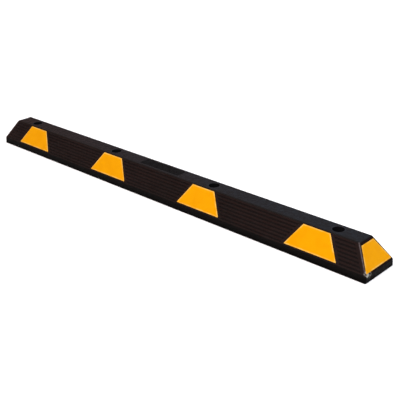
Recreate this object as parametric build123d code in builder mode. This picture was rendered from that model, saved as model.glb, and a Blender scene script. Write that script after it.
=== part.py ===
from build123d import *
import os
from math import hypot

# Parking wheel stop: a moulded rubber bar with sloped sides and ends, reflective panels
# bonded into its slopes, and four counterbored holes for ground anchors.
# Millimetres. X runs along the bar, Y across it, +Z up. The origin is the middle of the base.

# ---- driving dimensions -------------------------------------------------------------------
length = 1830.0
width = 150.0
height = 100.0
lip_width = 144.0
lip_height = 24.0
top_width = 64.0
end_inset = 53.0
top_radius = 7.0
corner_radius = 3.0

panel_count = 4
panel_pitch = 473.0
panel_bottom_width = 196.0
panel_top_width = 100.0
panel_low = 4.6
panel_high = 82.2
end_panel_low = 5.5
end_panel_high = 82.5
end_panel_bottom_width = 135.0
end_panel_top_width = 62.5
panel_thickness = 1.2
panel_corner_radius = 1.5
recess_depth = 1.6
recess_gap = 0.7

groove_count = 7
groove_low = 6.6
groove_pitch = 11.4
groove_width = 5.5
groove_depth = 1.8
groove_draft = 20.0
field_margin = 12.0
hip_margin = 18.0

marking_length = 198.0
marking_width = 42.0
marking_depth = 1.0
marking_corner_radius = 4.0

anchor_count = 4
anchor_pitch = 510.0
anchor_hole_radius = 8.0
counterbore_radius = 19.0
counterbore_depth = 35.0
counterbore_lead = 1.5
washer_radius = 15.0
washer_hole_radius = 8.5
washer_thickness = 3.0
washer_gap = 0.2
washer_chamfer = 0.6

pockets_per_span = 3
pocket_length = 130.0
pocket_width = 108.0
pocket_depth = 58.0
pocket_draft = 18.0
pocket_pitch = 155.0
pocket_mouth_radius = 12.0

# ---- worked out from the driving dimensions -----------------------------------------------
slope_rise = height - lip_height
side_run = (lip_width - top_width) / 2
side_slope_length = hypot(side_run, slope_rise)
end_slope_length = hypot(end_inset, slope_rise)
middle_height = lip_height + slope_rise / 2
side_middle = (lip_width - side_run) / 2
end_middle = (length - end_inset) / 2
washer_seat_height = height - counterbore_depth - washer_thickness

# Each slope has a plane at its middle: local X along the slope's foot, local Y up the slope.
front_slope = Plane(
    origin=(0, -side_middle, middle_height), x_dir=(1, 0, 0), z_dir=(0, -slope_rise, side_run)
)
rear_slope = Plane(
    origin=(0, side_middle, middle_height), x_dir=(-1, 0, 0), z_dir=(0, slope_rise, side_run)
)
right_slope = Plane(
    origin=(end_middle, 0, middle_height), x_dir=(0, 1, 0), z_dir=(slope_rise, 0, end_inset)
)
left_slope = Plane(
    origin=(-end_middle, 0, middle_height), x_dir=(0, -1, 0), z_dir=(-slope_rise, 0, end_inset)
)

panel_centres = [(i - (panel_count - 1) / 2) * panel_pitch for i in range(panel_count)]
anchor_centres = [(i - (anchor_count - 1) / 2) * anchor_pitch for i in range(anchor_count)]
panel_side_lean = (panel_bottom_width - panel_top_width) / 2 / (panel_high - panel_low)
hip_lean = end_inset / side_slope_length


def trapezoid(foot_width, head_width, low, high, grow=0.0):
    """Points of a panel on a slope: foot and head widths, between two heights up the slope."""
    lean = (foot_width - head_width) / 2 / (high - low)
    side_grow = grow * hypot(1, lean)
    foot = foot_width / 2 + side_grow + lean * grow
    head = head_width / 2 + side_grow - lean * grow
    return [(-foot, low - grow), (foot, low - grow), (head, high + grow), (-head, high + grow)]


def side_panel_points(centre, grow=0.0):
    """Outline of a side panel in a side slope's own coordinates."""
    low = panel_low - side_slope_length / 2
    high = panel_high - side_slope_length / 2
    points = trapezoid(panel_bottom_width, panel_top_width, low, high, grow)
    return [(centre + x, y) for x, y in points]


def end_panel_points(grow=0.0):
    """Outline of an end panel in an end slope's own coordinates."""
    low = end_panel_low - end_slope_length / 2
    high = end_panel_high - end_slope_length / 2
    return trapezoid(end_panel_bottom_width, end_panel_top_width, low, high, grow)


def panel_edge(height_up):
    """Distance from a side panel's centre line to its side, at a height up the slope."""
    return panel_bottom_width / 2 - panel_side_lean * (height_up - panel_low)


def hip_edge(height_up):
    """Distance along the bar from its middle to the corner between side and end slopes."""
    return length / 2 - hip_lean * height_up


def groove_fields(height_up):
    """Start and end along the bar of each ribbed field, at a height up the slope."""
    edge = panel_edge(height_up) + field_margin
    hip = hip_edge(height_up) - hip_margin
    starts = [-hip] + [centre + edge for centre in panel_centres]
    ends = [centre - edge for centre in panel_centres] + [hip]
    return list(zip(starts, ends))


groove_heights = [groove_low + i * groove_pitch for i in range(groove_count)]


def groove_outlines():
    """Outlines of all grooves on one side slope, their ends slanted with the panels' sides."""
    outlines = []
    for middle in groove_heights:
        low = middle - groove_width / 2
        high = middle + groove_width / 2
        for foot, head in zip(groove_fields(low), groove_fields(high)):
            outlines.append(
                [
                    (foot[0], low - side_slope_length / 2),
                    (foot[1], low - side_slope_length / 2),
                    (head[1], high - side_slope_length / 2),
                    (head[0], high - side_slope_length / 2),
                ]
            )
    return outlines


# ---- rubber body --------------------------------------------------------------------------
with BuildPart() as rubber_body:
    # cross-section along the whole length, with a lip that spreads a little towards the ground
    with BuildSketch(Plane.YZ):
        with BuildLine():
            Polyline(
                (-width / 2, 0),
                (width / 2, 0),
                (lip_width / 2, lip_height),
                (top_width / 2, height),
                (-top_width / 2, height),
                (-lip_width / 2, lip_height),
                close=True,
            )
        make_face()
    extrude(amount=length / 2, both=True)

    # side view with the sloped ends, kept where it meets the cross-section
    with BuildSketch(Plane.XZ):
        with BuildLine():
            Polyline(
                (-length / 2, 0),
                (length / 2, 0),
                (length / 2, lip_height),
                (length / 2 - end_inset, height),
                (-length / 2 + end_inset, height),
                (-length / 2, lip_height),
                close=True,
            )
        make_face()
    extrude(amount=width / 2, both=True, mode=Mode.INTERSECT)

    # moulded rounding: the top's rim, then the lip's corners and shoulders and the hips above
    top_rim = rubber_body.faces().sort_by(Axis.Z)[-1].edges()
    fillet(top_rim, radius=top_radius)
    lip_corners, shoulders, hips = rubber_body.edges().group_by(Axis.Z)[1:4]
    fillet(lip_corners + shoulders + hips, radius=corner_radius)

    # recesses that the reflective panels are bonded into
    for slope in (front_slope, rear_slope):
        with BuildSketch(slope):
            for centre in panel_centres:
                with BuildLine():
                    Polyline(*side_panel_points(centre, recess_gap), close=True)
                make_face()
        extrude(amount=-recess_depth, mode=Mode.SUBTRACT)
    for slope in (right_slope, left_slope):
        with BuildSketch(slope):
            with BuildLine():
                Polyline(*end_panel_points(recess_gap), close=True)
            make_face()
        extrude(amount=-recess_depth, mode=Mode.SUBTRACT)

    # grooves between the panels, which leave the ribs standing between them
    for slope in (front_slope, rear_slope):
        with BuildSketch(slope):
            for outline in groove_outlines():
                with BuildLine():
                    Polyline(*outline, close=True)
                make_face()
        extrude(amount=-groove_depth, taper=groove_draft, mode=Mode.SUBTRACT)

    # anchor holes: through hole, washer seat and counterbore down from the top
    with BuildSketch(Plane.XY):
        with Locations(*[(x, 0) for x in anchor_centres]):
            Circle(anchor_hole_radius)
    extrude(amount=height, mode=Mode.SUBTRACT)
    with BuildSketch(Plane.XY.offset(washer_seat_height)):
        with Locations(*[(x, 0) for x in anchor_centres]):
            Circle(washer_radius + washer_gap)
    extrude(amount=washer_thickness, mode=Mode.SUBTRACT)
    with BuildSketch(Plane.XY.offset(height - counterbore_depth)):
        with Locations(*[(x, 0) for x in anchor_centres]):
            Circle(counterbore_radius)
    extrude(amount=counterbore_depth, mode=Mode.SUBTRACT)
    mouths = rubber_body.faces().sort_by(Axis.Z)[-1].edges().filter_by(GeomType.CIRCLE)
    fillet(mouths, radius=counterbore_lead)

    # blank marking panel sunk in the middle of the top
    with BuildSketch(Plane.XY.offset(height)):
        RectangleRounded(marking_length, marking_width, marking_corner_radius)
    extrude(amount=-marking_depth, mode=Mode.SUBTRACT)

    # cored underside: a row of draughted pockets in each span between the anchor holes
    span_centres = [(a + b) / 2 for a, b in zip(anchor_centres, anchor_centres[1:])]
    with BuildSketch(Plane.XY):
        for span in span_centres:
            with Locations((span, 0)):
                with GridLocations(pocket_pitch, 0, pockets_per_span, 1):
                    RectangleRounded(pocket_length, pocket_width, pocket_mouth_radius)
    extrude(amount=pocket_depth, taper=pocket_draft, mode=Mode.SUBTRACT)

rubber_body.part.label = "rubber_body"


# ---- reflective panels --------------------------------------------------------------------
def reflector(label, slope, points):
    """A sheet of reflective facing lying on the floor of its recess."""
    floor = slope.offset(-recess_depth)
    with BuildPart() as sheet:
        with BuildSketch(floor):
            with BuildLine():
                Polyline(*points, close=True)
            make_face()
        extrude(amount=panel_thickness)
        corners = sheet.edges().filter_by(Axis((0, 0, 0), floor.z_dir))
        fillet(corners, radius=panel_corner_radius)
    sheet.part.label = label
    return sheet.part


# ---- load washers -------------------------------------------------------------------------
def anchor_washer(label, centre):
    """A flat washer set flush into the floor of a counterbore."""
    with BuildPart() as washer:
        with BuildSketch(Plane.XY.offset(washer_seat_height)):
            with Locations((centre, 0)):
                Circle(washer_radius)
                Circle(washer_hole_radius, mode=Mode.SUBTRACT)
        extrude(amount=washer_thickness)
        outer_edge = washer.edges().group_by(Axis.Z)[-1].sort_by(SortBy.LENGTH)[-1]
        chamfer(outer_edge, length=washer_chamfer)
    washer.part.label = label
    return washer.part


pieces = [rubber_body.part]
for number, centre in enumerate(panel_centres, start=1):
    pieces.append(reflector(f"front_reflector_{number}", front_slope, side_panel_points(centre)))
for number, centre in enumerate(panel_centres, start=1):
    pieces.append(reflector(f"rear_reflector_{number}", rear_slope, side_panel_points(-centre)))
pieces.append(reflector("right_end_reflector", right_slope, end_panel_points()))
pieces.append(reflector("left_end_reflector", left_slope, end_panel_points()))
for number, centre in enumerate(anchor_centres, start=1):
    pieces.append(anchor_washer(f"anchor_washer_{number}", centre))

os.makedirs("parts", exist_ok=True)
for piece in pieces:
    export_step(piece, f"parts/{piece.label}.step")
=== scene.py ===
import math

import bmesh
import bpy
from mathutils import Matrix, Vector
from mathutils.geometry import intersect_line_line


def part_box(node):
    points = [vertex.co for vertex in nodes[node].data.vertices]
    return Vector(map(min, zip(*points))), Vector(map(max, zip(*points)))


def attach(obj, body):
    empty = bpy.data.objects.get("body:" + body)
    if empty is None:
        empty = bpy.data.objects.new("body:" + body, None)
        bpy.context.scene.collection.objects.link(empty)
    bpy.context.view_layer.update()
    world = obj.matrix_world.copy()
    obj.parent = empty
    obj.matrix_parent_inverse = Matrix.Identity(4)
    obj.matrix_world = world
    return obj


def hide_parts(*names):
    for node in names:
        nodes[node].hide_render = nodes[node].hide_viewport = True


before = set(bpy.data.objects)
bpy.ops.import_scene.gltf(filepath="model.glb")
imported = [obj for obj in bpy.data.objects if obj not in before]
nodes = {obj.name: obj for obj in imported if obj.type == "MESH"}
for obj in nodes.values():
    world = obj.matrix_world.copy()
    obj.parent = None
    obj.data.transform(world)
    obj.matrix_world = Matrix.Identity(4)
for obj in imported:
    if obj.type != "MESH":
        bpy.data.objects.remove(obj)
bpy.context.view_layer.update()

# ---- sizes, with lengths in metres --------------------------------------------------------
bar_high = Vector(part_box("rubber_body")[1])
BAR_END = bar_high.x
BAR_TOP = bar_high.z
LIP_HALF_WIDTH = 0.072
LIP_HEIGHT = 0.024
TOP_HALF_WIDTH = 0.032
END_INSET = 0.053
SLOPE_RISE = BAR_TOP - LIP_HEIGHT
SIDE_RUN = LIP_HALF_WIDTH - TOP_HALF_WIDTH

ANCHOR_PITCH = 0.510
COUNTERBORE_RADIUS = 0.019
MARKING_HALF_LENGTH = 0.099
MARKING_HALF_WIDTH = 0.021
POCKET_REACH = 0.050

RUBBER_BEVEL = 0.0007
BEVEL_SEGMENTS = 2
ROUND_PROFILE = 0.5
EVEN_SHADING_WEIGHT = 100
SHARP_EDGE = math.radians(28)
FLAT_ANGLE = math.radians(0.5)
WELD_DISTANCE = 0.000001
SHORTEST_EDGE = 0.00001
GROUND_CLEARANCE = 0.001

# Limits of the dull rubber: places in metres, and parts of a face's normal along one axis.
LIP_CEILING = LIP_HEIGHT - 0.001
END_START = BAR_END - END_INSET - 0.002
MARKING_CEILING = BAR_TOP - 0.0006
BORE_CEILING = BAR_TOP - 0.0012
BORE_REACH = COUNTERBORE_RADIUS + 0.0002
FACING_DOWN = -0.05
FACING_UP = 0.9
FACING_ENDWAYS = 0.6

SHEET_THICKNESS = 0.0012
SHEET_CORNER_RADIUS = 0.0015
SHEET_CORNER_STEPS = 4
SHEET_BEVEL = 0.0003
SHEET_BEVEL_MIDDLE = SHEET_BEVEL * 0.3
SHEET_BORDER = 0.0034
SHEET_SWELL = 0.0002
SHEET_CELL = 0.0062
SLOPE_LEAN = Vector((0.0, 0.0, 0.5))

# ---- rubber -------------------------------------------------------------------------------
LIP_COLOUR = (0.0036, 0.0032, 0.0030)
# The slopes' colour is painted warm light: lighter and warmer than the lip and top of the same
# rubber.
SLOPE_PAINTED_WARM_LIGHT = (0.0108, 0.0042, 0.0034)
TOP_COLOUR = (0.0034, 0.0022, 0.0021)
BLOTCH_SHADE = (0.35, 0.35, 0.36)
GREY_CRUMB = (0.0080, 0.0056, 0.0052)
PALE_CRUMB = (0.0180, 0.0160, 0.0160)
# Painted shade that darkens the grooves, and also the dark of the marking panel's stipple.
GROOVE_SHADE_AND_STIPPLE_DARK = (0.0015, 0.0009, 0.0008)
BORE_COLOUR = (0.0050, 0.0050, 0.0058)
MARKING_COLOUR = (0.0090, 0.0085, 0.0088)
# Pale along the hips: partly wear, partly a painted highlight of the rounded hip edge.
WORN_EDGE_AND_HIGHLIGHT = (0.085, 0.068, 0.070)
PALE_SCUFF = (0.30, 0.29, 0.25)
# A ring round each counterbore's mouth: partly rubbed wear, partly a painted highlight of the rim.
RUBBED_RING_AND_RIM_HIGHLIGHT = (0.030, 0.032, 0.042)
SMOOTH_SPECULAR = 0.08
DULL_SPECULAR = 0.015

# A noise is its scale in features per metre, its detail and its roughness.
BLOTCH_NOISE = (9.0, 5.0, 0.6)
MOTTLE_NOISE = (70.0, 4.0, 0.65)
SPECK_NOISE = (520.0, 2.0, 0.6)
SCUFF_NOISE = (150.0, 3.0, 0.7)
SCUFF_STRETCH = (0.5, 1.0, 1.0)
WAVE_NOISE = (95.0, 4.0, 0.6)
STIPPLE_SCALE = 240.0
GRAIN_SCALE = 480.0

# A bump is its strength and its height in metres.
GRAIN_BUMP = (0.45, 0.0006)
WAVE_BUMP = (0.40, 0.0014)
MARKING_BUMP = (0.9, 0.0012)

# A spread maps a texture from between its first two numbers to between its last two, or 0 and 1.
BLOTCH_SPREAD = (0.30, 0.70, 0.0, 0.55)
GREY_SPREAD = (0.42, 0.70, 0.0, 0.60)
PALE_SPREAD = (0.60, 0.72, 0.0, 0.55)
HIP_WEAR_AND_HIGHLIGHT_SPREAD = (0.25, 0.60, 0.35, 1.0)
SCUFF_SPREAD = (0.46, 0.53)
STIPPLE_SPREAD = (0.2, 0.7)
RUBBER_ROUGHNESS = (0.35, 0.65, 0.46, 0.72)
TOP_SMOOTHER = 0.14
MARKING_ROUGHER = 0.25
GROOVE_SHADE_SHARE = 0.75
HIP_WEAR_AND_HIGHLIGHT_SHARE = 0.9
RING_WEAR_AND_HIGHLIGHT_SHARE = 0.45

# A fade is the value at which a mask is 0, then the one at which it is 1. These are in metres.
LIP_FADE = (LIP_HEIGHT - 0.002, LIP_HEIGHT + 0.002)
TOP_FADE = (BAR_TOP - 0.005, BAR_TOP - 0.001)
SLOPE_FADE = (0.008, 0.006)
GROOVE_MOUTH_FADE = (0.0004, 0.0014)
GROOVE_FLOOR_FADE = (0.0030, 0.0024)
GROOVE_HIP_FADE = (0.006, 0.009)
MARKING_LENGTH_FADE = (MARKING_HALF_LENGTH + 0.0004, MARKING_HALF_LENGTH - 0.0002)
MARKING_WIDTH_FADE = (MARKING_HALF_WIDTH + 0.0004, MARKING_HALF_WIDTH - 0.0002)
HIP_FAR_FADE = (0.0056, 0.0040)
HIP_NEAR_FADE = (0.0006, 0.0014)
HIP_SKIN_FADE = (0.0016, 0.0008)
SCUFF_FADE = (0.015, 0.011)
SCUFF_CENTRE = (BAR_END - 0.003, 0.013 - LIP_HALF_WIDTH, LIP_HEIGHT + 0.0025)
RING_OUTER_FADE = (COUNTERBORE_RADIUS + 0.0035, COUNTERBORE_RADIUS + 0.0010)
RING_INNER_FADE = (COUNTERBORE_RADIUS - 0.0006, COUNTERBORE_RADIUS + 0.0002)
BORE_FADE = (COUNTERBORE_RADIUS + 0.0012, COUNTERBORE_RADIUS + 0.0004)

# ---- sheeting and zinc --------------------------------------------------------------------
CELL_COLOUR = (0.635, 0.270, 0.0010)
CELL_DEEP = (0.605, 0.247, 0.0007)
SEAM_COLOUR = (0.56, 0.205, 0.0010)
# The pale border colour is a painted highlight along each panel's edge.
BORDER_HIGHLIGHT_COLOUR = (0.70, 0.40, 0.080)
DUST_COLOUR = (0.55, 0.30, 0.05)
TONE_NOISE = (30.0, 3.0, 0.6)
TONE_SPREAD = (0.35, 0.70)
DUST_NOISE = (160.0, 5.0, 0.7)
DUST_SPREAD = (0.60, 0.85, 0.0, 0.12)
SHEET_ROUGHNESS = (0.3, 0.8, 0.48, 0.64)
SHEET_SPECULAR = 0.05
SHEET_TINT = (1.0, 0.55, 0.08, 1.0)

# A seam's fade is in cells, from the line between two of them.
HALF_CELL = 0.5
SEAM_FADE = (0.09, 0.04)
SEAM_SHARE = 0.35
SEAM_BUMP = (0.2, 0.0002)

ZINC_DARK = (0.38, 0.39, 0.41)
ZINC_BRIGHT = (0.60, 0.61, 0.62)
ZINC_NOISE = (260.0, 3.0, 0.6)
ZINC_SPREAD = (0.3, 0.7)
ZINC_ROUGHNESS = (0.3, 0.7, 0.30, 0.48)
SPANGLE_NOISE = (900.0, 2.0, 0.55)
SPANGLE_BUMP = (0.15, 0.0001)

# ---- camera -------------------------------------------------------------------------------
CAMERA_TARGET = Vector((0.2254, -0.0407, 0.05))
CAMERA_DISTANCE = 2.7019
CAMERA_AZIMUTH = 44.577
CAMERA_ELEVATION = 24.745
CAMERA_ROLL = -1.873
CAMERA_LENS = 70.8
CAMERA_SENSOR = 36.0
CAMERA_REACH = 100.0

# ---- floor and light ----------------------------------------------------------------------
FLOOR_SIZE = 60.0
FLOOR_GAP = 0.0003
FLOOR_COLOUR = (0.90, 0.90, 0.90, 1.0)
FLOOR_ROUGHNESS = 0.9
FLOOR_SPECULAR = 0.1
COOL_DIRECTION = (0.5, 0.866, 0.0)
COOL_FADE = (-0.10, 0.60)
UPWARD = (0.0, 0.0, 1.0)
OVERHEAD_FADE = (0.50, 0.85)
WARM_SIDE = (0.38, 0.16, 0.11)
COOL_SIDE = (0.48, 0.66, 0.90)
OVERHEAD = (2.1, 2.1, 2.1)
BACKDROP = (1.0, 1.0, 1.0)
KEY_SIZE = (2.5, 2.0)
KEY_POWER = 82.0
KEY_PLACE = Vector((1.4, -3.0, 2.0))
KEY_AIM = Vector((0.2, 0.0, 0.0))


# ---- shader nodes -------------------------------------------------------------------------
class Nodes:
    """Short calls for building a node tree."""

    def __init__(self, tree):
        self.tree = tree

    def add(self, kind, **settings):
        node = self.tree.nodes.new(kind)
        for key, value in settings.items():
            setattr(node, key, value)
        return node

    def link(self, source, target):
        self.tree.links.new(source, target)

    def feed(self, socket, value):
        """Give a socket a number, a colour, a vector or the output of another node."""
        if isinstance(value, (int, float)):
            socket.default_value = value
        elif isinstance(value, tuple):
            socket.default_value = (*value, 1.0) if len(socket.default_value) == 4 else value
        else:
            self.link(value, socket)

    def span(self, value, low, high, to_low=0.0, to_high=1.0):
        """Map a value from low..high to to_low..to_high, smoothly and held at both ends."""
        spread = self.add("ShaderNodeMapRange", interpolation_type="SMOOTHSTEP")
        for name, number in (
            ("From Min", low),
            ("From Max", high),
            ("To Min", to_low),
            ("To Max", to_high),
        ):
            spread.inputs[name].default_value = number
        self.link(value, spread.inputs["Value"])
        return spread.outputs["Result"]

    def math(self, operation, a, b):
        node = self.add("ShaderNodeMath", operation=operation)
        self.feed(node.inputs[0], a)
        self.feed(node.inputs[1], b)
        return node.outputs["Value"]

    def vector(self, operation, a, b=(0.0, 0.0, 0.0)):
        node = self.add("ShaderNodeVectorMath", operation=operation)
        self.feed(node.inputs[0], a)
        self.feed(node.inputs[1], b)
        return node.outputs["Value" if operation in ("DOT_PRODUCT", "LENGTH") else "Vector"]

    def axes(self, vector):
        split = self.add("ShaderNodeSeparateXYZ")
        self.link(vector, split.inputs["Vector"])
        return split.outputs["X"], split.outputs["Y"], split.outputs["Z"]

    def both(self, *factors):
        """All of several masks at once."""
        product = factors[0]
        for factor in factors[1:]:
            product = self.math("MULTIPLY", product, factor)
        return product

    def mix(self, factor, a, b, blend="MIX"):
        node = self.add("ShaderNodeMix", data_type="RGBA", blend_type=blend)
        sockets = {socket.name: socket for socket in node.inputs if socket.enabled}
        for name, value in (("Factor", factor), ("A", a), ("B", b)):
            self.feed(sockets[name], value)
        return next(socket for socket in node.outputs if socket.enabled)


class Material(Nodes):
    """A new material's nodes: its shader, and textures laid out by each point's place."""

    def __init__(self, name):
        self.material = bpy.data.materials.new(name)
        self.material.use_nodes = True
        super().__init__(self.material.node_tree)
        self.tree.nodes.clear()
        self.shader = self.add("ShaderNodeBsdfPrincipled")
        output = self.add("ShaderNodeOutputMaterial")
        self.link(self.shader.outputs["BSDF"], output.inputs["Surface"])
        self.place = self.add("ShaderNodeTexCoord").outputs["Object"]

    def give(self, name, value):
        """Give one of the shader's inputs a value or the output of a node."""
        if isinstance(value, bpy.types.NodeSocket):
            self.link(value, self.shader.inputs[name])
        else:
            self.shader.inputs[name].default_value = value

    def noise(self, settings, stretch=(1.0, 1.0, 1.0)):
        mapping = self.add("ShaderNodeMapping")
        mapping.inputs["Scale"].default_value = stretch
        self.link(self.place, mapping.inputs["Vector"])
        noise = self.add("ShaderNodeTexNoise")
        for name, value in zip(("Scale", "Detail", "Roughness"), settings):
            noise.inputs[name].default_value = value
        self.link(mapping.outputs["Vector"], noise.inputs["Vector"])
        return noise.outputs["Fac"]

    def cells(self, scale):
        cells = self.add("ShaderNodeTexVoronoi")
        cells.inputs["Scale"].default_value = scale
        self.link(self.place, cells.inputs["Vector"])
        return cells.outputs["Distance"]

    def bump(self, height, settings, under=None):
        node = self.add("ShaderNodeBump")
        for name, value in zip(("Strength", "Distance"), settings):
            node.inputs[name].default_value = value
        self.link(height, node.inputs["Height"])
        if under is not None:
            self.link(under, node.inputs["Normal"])
        return node.outputs["Normal"]


# ---- rubber -------------------------------------------------------------------------------
def plane_depth(look, quarter, run, foot, axis):
    """How far below a slope's plane a point lies. The quarter is the point mirrored to +X, +Y."""
    slope_length = math.hypot(run, SLOPE_RISE)
    outward = [0.0, 0.0, run / slope_length]
    outward[axis] = SLOPE_RISE / slope_length
    level = (foot * SLOPE_RISE + LIP_HEIGHT * run) / slope_length
    return look.math("SUBTRACT", level, look.vector("DOT_PRODUCT", quarter, tuple(outward)))


class Surface:
    """Where a point of the bar is, as outputs of a material's nodes."""

    def __init__(self, look):
        quarter = look.vector("ABSOLUTE", look.place)
        self.x, self.y, z = look.axes(quarter)
        self.side_depth = plane_depth(look, quarter, SIDE_RUN, LIP_HALF_WIDTH, 1)
        self.end_depth = plane_depth(look, quarter, END_INSET, BAR_END, 0)
        self.above_lip = look.span(z, *LIP_FADE)
        self.on_top = look.span(z, *TOP_FADE)
        nearest = look.math("MINIMUM", self.side_depth, self.end_depth)
        self.on_slope = look.both(self.above_lip, look.span(nearest, *SLOPE_FADE))

    def in_groove(self, look):
        """Below the side slope and well inside the hips."""
        return look.both(
            look.span(self.side_depth, *GROOVE_MOUTH_FADE),
            look.span(self.side_depth, *GROOVE_FLOOR_FADE),
            look.span(self.end_depth, *GROOVE_HIP_FADE),
            self.above_lip,
        )

    def on_marking(self, look):
        """On the blank panel in the middle of the top."""
        return look.both(
            look.span(self.x, *MARKING_LENGTH_FADE),
            look.span(self.y, *MARKING_WIDTH_FADE),
            self.on_top,
        )

    def on_hip(self, look):
        """On the long slope's side of a hip."""
        return look.both(
            look.span(self.end_depth, *HIP_FAR_FADE),
            look.span(self.end_depth, *HIP_NEAR_FADE),
            look.span(self.side_depth, *HIP_SKIN_FADE),
            self.above_lip,
        )

    def from_anchor(self, look):
        """Distance from the axis of the nearest anchor hole."""
        flat = look.add("ShaderNodeCombineXYZ")
        along = look.math("SUBTRACT", look.math("PINGPONG", self.x, ANCHOR_PITCH), ANCHOR_PITCH / 2)
        look.link(along, flat.inputs["X"])
        look.link(self.y, flat.inputs["Y"])
        return look.vector("LENGTH", flat.outputs["Vector"])


def crumb_colour(look, surface, mottle):
    """The tone of the bar's lip, slopes and top, with the slopes painted lighter and warmer than
    the lip and top as painted warm light, varied by the crumb that the rubber is made of.
    """
    blotch = look.noise(BLOTCH_NOISE)
    speck = look.noise(SPECK_NOISE)
    # The slopes get a lighter, warmer colour than the rest of the rubber: painted warm light.
    sides = look.mix(surface.on_slope, LIP_COLOUR, SLOPE_PAINTED_WARM_LIGHT)
    colour = look.mix(surface.on_top, sides, TOP_COLOUR)
    colour = look.mix(look.span(blotch, *BLOTCH_SPREAD), colour, BLOTCH_SHADE, "MULTIPLY")
    colour = look.mix(look.span(mottle, *GREY_SPREAD), colour, GREY_CRUMB)
    return look.mix(look.span(speck, *PALE_SPREAD), colour, PALE_CRUMB)


def marking_colour(look, stipple):
    """Dark rubber with a coarse stipple."""
    return look.mix(look.span(stipple, *STIPPLE_SPREAD), GROOVE_SHADE_AND_STIPPLE_DARK, MARKING_COLOUR)


def wear_highlight_and_scuff_colour(look, surface, colour):
    """The colour with pale wear and a painted highlight along the hips, and a scuff below one end's
    panel.
    """
    scuff = look.noise(SCUFF_NOISE, SCUFF_STRETCH)
    # The pale hip mark is partly wear and partly a painted highlight.
    hip_wear_and_highlight = look.both(surface.on_hip(look), look.span(scuff, *HIP_WEAR_AND_HIGHLIGHT_SPREAD))
    colour = look.mix(look.math("MULTIPLY", hip_wear_and_highlight, HIP_WEAR_AND_HIGHLIGHT_SHARE), colour, WORN_EDGE_AND_HIGHLIGHT)
    from_scuff = look.vector("LENGTH", look.vector("SUBTRACT", look.place, SCUFF_CENTRE))
    scuffed = look.both(look.span(from_scuff, *SCUFF_FADE), look.span(scuff, *SCUFF_SPREAD))
    return look.mix(scuffed, colour, PALE_SCUFF)


def anchor_colour(look, surface, colour):
    """The colour with a ring round each counterbore, partly rubbed wear and partly a painted
    highlight of the rim, and a dark bore inside it.
    """
    from_anchor = surface.from_anchor(look)
    ring = look.both(
        look.span(from_anchor, *RING_OUTER_FADE),
        look.span(from_anchor, *RING_INNER_FADE),
        surface.on_top,
    )
    # The pale ring is partly wear and partly a painted highlight of the rim.
    colour = look.mix(look.math("MULTIPLY", ring, RING_WEAR_AND_HIGHLIGHT_SHARE), colour, RUBBED_RING_AND_RIM_HIGHLIGHT)
    return look.mix(look.span(from_anchor, *BORE_FADE), colour, BORE_COLOUR)


def rubber_material(name, specular):
    """Black moulded crumb rubber: fine grain, mottled tone, painted shade in the grooves, and worn
    hips with a painted highlight.
    """
    look = Material(name)
    surface = Surface(look)
    mottle = look.noise(MOTTLE_NOISE)
    stipple = look.cells(STIPPLE_SCALE)
    on_marking = surface.on_marking(look)

    colour = crumb_colour(look, surface, mottle)
    # The grooves are darkened with painted shade.
    colour = look.mix(look.math("MULTIPLY", surface.in_groove(look), GROOVE_SHADE_SHARE), colour, GROOVE_SHADE_AND_STIPPLE_DARK)
    colour = look.mix(on_marking, colour, marking_colour(look, stipple))
    colour = wear_highlight_and_scuff_colour(look, surface, colour)
    look.give("Base Color", anchor_colour(look, surface, colour))

    rough = look.span(mottle, *RUBBER_ROUGHNESS)
    rough = look.math("SUBTRACT", rough, look.math("MULTIPLY", surface.on_top, TOP_SMOOTHER))
    rough = look.math("ADD", rough, look.math("MULTIPLY", on_marking, MARKING_ROUGHER))
    look.give("Roughness", rough)
    look.give("Specular IOR Level", specular)

    grain = look.bump(look.cells(GRAIN_SCALE), GRAIN_BUMP)
    waves = look.bump(look.noise(WAVE_NOISE), WAVE_BUMP, grain)
    look.give("Normal", look.bump(look.both(stipple, on_marking), MARKING_BUMP, waves))
    return look.material


# ---- sheeting and zinc --------------------------------------------------------------------
def diamond_seams(look, across):
    """Lines between a sheet's diamond cells. across is the axis that its foot runs along."""
    axes = dict(zip("XYZ", look.axes(look.place)))
    rising = look.math("DIVIDE", axes["Z"], SHEET_CELL)
    sideways = look.math("DIVIDE", axes[across], SHEET_CELL)
    seams = []
    for slant in ("ADD", "SUBTRACT"):
        line = look.math("PINGPONG", look.math(slant, sideways, rising), HALF_CELL)
        seams.append(look.span(line, *SEAM_FADE))
    return look.math("MAXIMUM", *seams)


def sheet_material(name, across, colour, deep):
    """Yellow reflective sheeting with faint diamond seams and a little dust."""
    look = Material(name)
    seam = diamond_seams(look, across)
    dust = look.noise(DUST_NOISE)
    body = look.mix(look.span(look.noise(TONE_NOISE), *TONE_SPREAD), colour, deep)
    body = look.mix(look.math("MULTIPLY", seam, SEAM_SHARE), body, SEAM_COLOUR)
    look.give("Base Color", look.mix(look.span(dust, *DUST_SPREAD), body, DUST_COLOUR))
    look.give("Roughness", look.span(dust, *SHEET_ROUGHNESS))
    look.give("Specular IOR Level", SHEET_SPECULAR)
    look.give("Specular Tint", SHEET_TINT)
    look.give("Normal", look.bump(seam, SEAM_BUMP))
    return look.material


def zinc_material():
    """Bright zinc plating with a fine spangle."""
    look = Material("zinc_steel")
    tone = look.noise(ZINC_NOISE)
    look.give("Base Color", look.mix(look.span(tone, *ZINC_SPREAD), ZINC_DARK, ZINC_BRIGHT))
    look.give("Metallic", 1.0)
    look.give("Roughness", look.span(tone, *ZINC_ROUGHNESS))
    look.give("Normal", look.bump(look.noise(SPANGLE_NOISE), SPANGLE_BUMP))
    return look.material


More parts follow.
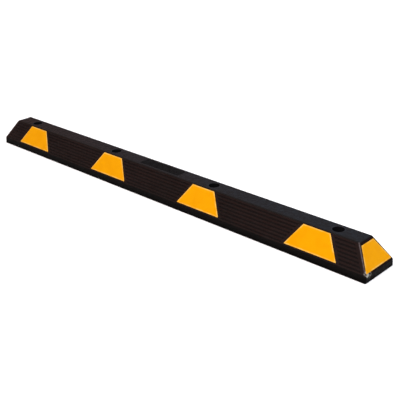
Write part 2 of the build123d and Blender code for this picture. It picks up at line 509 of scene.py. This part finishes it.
# ---- pieces -------------------------------------------------------------------------------
def clean_copy(name):
    """The node's mesh as a bmesh with its seams welded and its flat faces whole."""
    mesh = bmesh.new()
    mesh.from_mesh(nodes[name].data)
    bmesh.ops.remove_doubles(mesh, verts=mesh.verts, dist=WELD_DISTANCE)
    bmesh.ops.dissolve_limit(mesh, angle_limit=FLAT_ANGLE, verts=mesh.verts, edges=mesh.edges)
    return mesh


def make_piece(name, mesh, materials, stands_for):
    """Turn a bmesh into a smooth piece on the bar's body that stands for a CAD node."""
    data = bpy.data.meshes.new(name)
    mesh.to_mesh(data)
    mesh.free()
    for material in materials:
        data.materials.append(material)
    data.shade_smooth()
    piece = bpy.data.objects.new(name, data)
    bpy.context.scene.collection.objects.link(piece)
    normals = piece.modifiers.new("even shading", "WEIGHTED_NORMAL")
    normals.weight = EVEN_SHADING_WEIGHT
    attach(piece, "root")
    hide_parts(stands_for)


def is_dull(face):
    """Whether a face of the bar is on an end, lip or marking panel, or in a hole or pocket."""
    centre = face.calc_center_median()
    along = ((centre.x / ANCHOR_PITCH) % 1.0 - 0.5) * ANCHOR_PITCH
    near_anchor = math.hypot(along, centre.y) < BORE_REACH
    near_marking = abs(centre.x) < MARKING_HALF_LENGTH and abs(centre.y) < MARKING_HALF_WIDTH
    return (
        centre.z < LIP_CEILING
        or (face.normal.z < FACING_DOWN and abs(centre.y) < POCKET_REACH)
        or (abs(face.normal.x) > FACING_ENDWAYS and abs(centre.x) > END_START)
        or (near_marking and face.normal.z > FACING_UP and centre.z < MARKING_CEILING)
        or (near_anchor and centre.z < BORE_CEILING)
    )


def rubber_bar(smooth, dull):
    """The moulded bar, with every crisp edge above the ground softened."""
    mesh = clean_copy("rubber_body")
    crisp = [
        edge
        for edge in mesh.edges
        if edge.calc_face_angle(0.0) > SHARP_EDGE
        and max(vertex.co.z for vertex in edge.verts) > GROUND_CLEARANCE
    ]
    bmesh.ops.bevel(
        mesh,
        geom=crisp,
        offset=RUBBER_BEVEL,
        segments=BEVEL_SEGMENTS,
        profile=ROUND_PROFILE,
        affect="EDGES",
        clamp_overlap=False,
    )
    bmesh.ops.remove_doubles(mesh, verts=mesh.verts, dist=SHORTEST_EDGE)
    for face in mesh.faces:
        face.material_index = int(is_dull(face))
    make_piece("moulded_bar", mesh, [smooth, dull], "rubber_body")


def outer_corners(node, outward):
    """The four sharp corners, in order, of the face of a panel's node that points outward."""
    mesh = clean_copy(node)
    face = max(mesh.faces, key=lambda face: face.calc_area() * face.normal.dot(outward))
    sides = sorted(face.loops, key=lambda loop: loop.edge.calc_length())[-4:]
    sides.sort(key=list(face.loops).index)
    lines = [(side.vert.co.copy(), side.link_loop_next.vert.co.copy()) for side in sides]
    normal = face.normal.copy()
    mesh.free()
    pairs = zip(lines, lines[1:] + lines[:1])
    corners = [intersect_line_line(*before, *after)[0] for before, after in pairs]
    return corners, normal


def rounded_ring(corners, normal, inset, lift):
    """The outline drawn in by inset and moved out by lift, with rounded corners."""
    radius = max(SHEET_CORNER_RADIUS - inset, SHEET_BEVEL)
    ring = []
    neighbours = zip(corners[-1:] + corners[:-1], corners, corners[1:] + corners[:1])
    for before, corner, after in neighbours:
        inward = [
            normal.cross((end - start).normalized())
            for start, end in ((before, corner), (corner, after))
        ]
        bisector = (inward[0] + inward[1]) / (1 + inward[0].dot(inward[1]))
        centre = corner + bisector * (inset + radius) + normal * lift
        for step in range(SHEET_CORNER_STEPS + 1):
            spoke = inward[0].lerp(inward[1], step / SHEET_CORNER_STEPS).normalized()
            ring.append(centre - spoke * radius)
    return ring


def reflective_sheet(node, cell_material, border_material):
    """A panel of sheeting: a sealed flat border, coloured pale as a painted highlight along the
    panel's edge, round a field of cells that stands a little up.
    """
    low, high = (Vector(corner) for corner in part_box(node))
    middle = (low + high) / 2
    aside = Vector((middle.x, 0.0, 0.0)) if "end" in node else Vector((0.0, middle.y, 0.0))
    corners, normal = outer_corners(node, aside.normalized() + SLOPE_LEAN)
    profile = [
        (0.0, -SHEET_THICKNESS),
        (0.0, -SHEET_BEVEL),
        (SHEET_BEVEL_MIDDLE, -SHEET_BEVEL_MIDDLE),
        (SHEET_BEVEL, 0.0),
        (SHEET_BORDER, 0.0),
        (SHEET_BORDER + SHEET_BEVEL, SHEET_SWELL),
    ]
    mesh = bmesh.new()
    rings = [
        [mesh.verts.new(point) for point in rounded_ring(corners, normal, inset, lift)]
        for inset, lift in profile
    ]
    for outer, inner in zip(rings, rings[1:]):
        outer_sides = zip(outer, outer[1:] + outer[:1])
        inner_sides = zip(inner, inner[1:] + inner[:1])
        for (a, b), (c, d) in zip(outer_sides, inner_sides):
            mesh.faces.new((a, b, d, c)).material_index = 1
    mesh.faces.new(rings[-1]).material_index = 0
    mesh.faces.new(rings[0][::-1]).material_index = 1
    name = node.replace("reflector", "sheet")
    make_piece(name, mesh, [cell_material, border_material], node)


def dress():
    """Make every piece and give the washers their plating."""
    rubber_bar(
        rubber_material("smooth_rubber", SMOOTH_SPECULAR),
        rubber_material("dull_rubber", DULL_SPECULAR),
    )
    cells = {}
    borders = {}
    for across in "XY":
        cells[across] = sheet_material(f"sheet_cells_{across}", across, CELL_COLOUR, CELL_DEEP)
        # The borders' paler yellow is a painted highlight along each panel's edge.
        borders[across] = sheet_material(
            f"sheet_border_{across}", across, BORDER_HIGHLIGHT_COLOUR, CELL_COLOUR
        )
    for node in [name for name in nodes if "reflector" in name]:
        across = "Y" if "end" in node else "X"
        reflective_sheet(node, cells[across], borders[across])
    zinc = zinc_material()
    for node in [name for name in nodes if "washer" in name]:
        slots = nodes[node].data.materials
        slots.clear()
        slots.append(zinc)


# ---- floor, light and camera --------------------------------------------------------------
def floor():
    """A plain pale floor, just below the bar's base so that the two don't share a plane."""
    half = FLOOR_SIZE / 2
    corners = ((-half, -half), (half, -half), (half, half), (-half, half))
    mesh = bpy.data.meshes.new("floor")
    mesh.from_pydata([(x, y, -FLOOR_GAP) for x, y in corners], [], [(0, 1, 2, 3)])
    look = Material("pale_floor")
    look.give("Base Color", FLOOR_COLOUR)
    look.give("Roughness", FLOOR_ROUGHNESS)
    look.give("Specular IOR Level", FLOOR_SPECULAR)
    mesh.materials.append(look.material)
    plane = bpy.data.objects.new("floor", mesh)
    bpy.context.scene.collection.objects.link(plane)


def studio_world():
    """Light that is warm at the front and left, cool at the back right and bright overhead.

    The camera itself sees a plain white backdrop.
    """
    world = bpy.data.worlds.new("studio")
    world.use_nodes = True
    look = Nodes(world.node_tree)
    direction = look.add("ShaderNodeTexCoord").outputs["Generated"]
    toward_cool = look.vector("DOT_PRODUCT", direction, COOL_DIRECTION)
    sides = look.mix(look.span(toward_cool, *COOL_FADE), WARM_SIDE, COOL_SIDE)
    upward = look.vector("DOT_PRODUCT", direction, UPWARD)
    dome = look.mix(look.span(upward, *OVERHEAD_FADE), sides, OVERHEAD)
    seen = look.add("ShaderNodeLightPath").outputs["Is Camera Ray"]
    look.link(look.mix(seen, dome, BACKDROP), look.tree.nodes["Background"].inputs["Color"])
    bpy.context.scene.world = world


def key_light():
    """A large soft light in front of the bar and to its right."""
    light = bpy.data.lights.new("key", "AREA")
    light.shape = "RECTANGLE"
    light.size, light.size_y = KEY_SIZE
    light.energy = KEY_POWER
    lamp = bpy.data.objects.new("key", light)
    lamp.location = KEY_PLACE
    lamp.rotation_euler = (KEY_AIM - KEY_PLACE).to_track_quat("-Z", "Y").to_euler()
    bpy.context.scene.collection.objects.link(lamp)


def camera():
    """The photo's view, from the right of the front and above, with a slight roll."""
    angles = (CAMERA_AZIMUTH, CAMERA_ELEVATION, CAMERA_ROLL)
    azimuth, elevation, roll = map(math.radians, angles)
    flat = math.cos(elevation)
    back = Vector((math.sin(azimuth) * flat, -math.cos(azimuth) * flat, math.sin(elevation)))
    right = Vector(UPWARD).cross(back).normalized()
    up = back.cross(right)
    tilted_right = right * math.cos(roll) + up * math.sin(roll)
    tilted_up = up * math.cos(roll) - right * math.sin(roll)
    lens = bpy.data.cameras.new("camera")
    lens.sensor_width = CAMERA_SENSOR
    lens.lens = CAMERA_LENS
    lens.clip_end = CAMERA_REACH
    eye = bpy.data.objects.new("camera", lens)
    turn = Matrix((tilted_right, tilted_up, back)).transposed().to_4x4()
    eye.matrix_world = Matrix.Translation(CAMERA_TARGET + back * CAMERA_DISTANCE) @ turn
    bpy.context.scene.collection.objects.link(eye)
    bpy.context.scene.camera = eye


dress()
floor()
studio_world()
key_light()
camera()
bpy.context.scene.view_settings.view_transform = "Standard"
